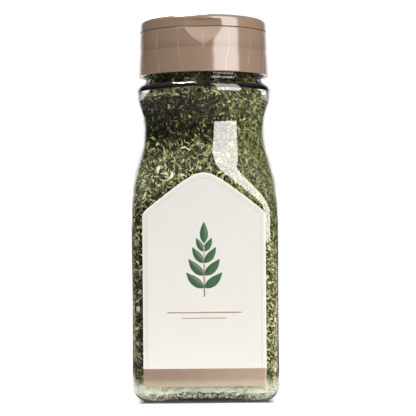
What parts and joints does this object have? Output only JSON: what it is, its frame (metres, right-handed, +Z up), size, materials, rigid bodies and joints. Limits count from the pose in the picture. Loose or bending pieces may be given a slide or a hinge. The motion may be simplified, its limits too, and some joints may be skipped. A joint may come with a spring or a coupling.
{
  "type": "filled spice jar",
  "caption": "Clear square bottle with a round grip waist, full of dried parsley flakes, with plain labels and a screw cap that has a sifter flap and a spoon flap.",
  "frame": {"origin": "middle of the footprint, on the surface that the jar stands on", "axes": "+Z up along the jar, -Y towards the front label, +X to the right of the front"},
  "size_m": [0.0602, 0.0614, 0.1587],
  "materials": {
    "clear_plastic": "gloss",
    "dried_parsley": "matte",
    "label_paper": "satin",
    "cap_plastic": "gloss"
  },
  "bodies": {
    "jar": {"bottle": "clear_plastic", "parsley_fill": "dried_parsley", "label_front": "label_paper", "label_back": "label_paper"},
    "cap": {"cap_base": "cap_plastic"},
    "front_flap": {"flap_front": "cap_plastic"},
    "back_flap": {"flap_back": "cap_plastic"}
  },
  "joints": [
    {"name": "cap_lift", "type": "slide", "parent": "jar", "child": "cap", "axis": [0, 0, 1], "range_m": [0, 0.03]},
    {"name": "front_flap_hinge", "type": "hinge", "parent": "cap", "child": "front_flap", "pos_m": [0, -0.00455, 0.1587], "axis": [-1, 0, 0], "range_deg": [0, 100]},
    {"name": "back_flap_hinge", "type": "hinge", "parent": "cap", "child": "back_flap", "pos_m": [0, 0.00455, 0.1587], "axis": [1, 0, 0], "range_deg": [0, 100]}
  ]
}
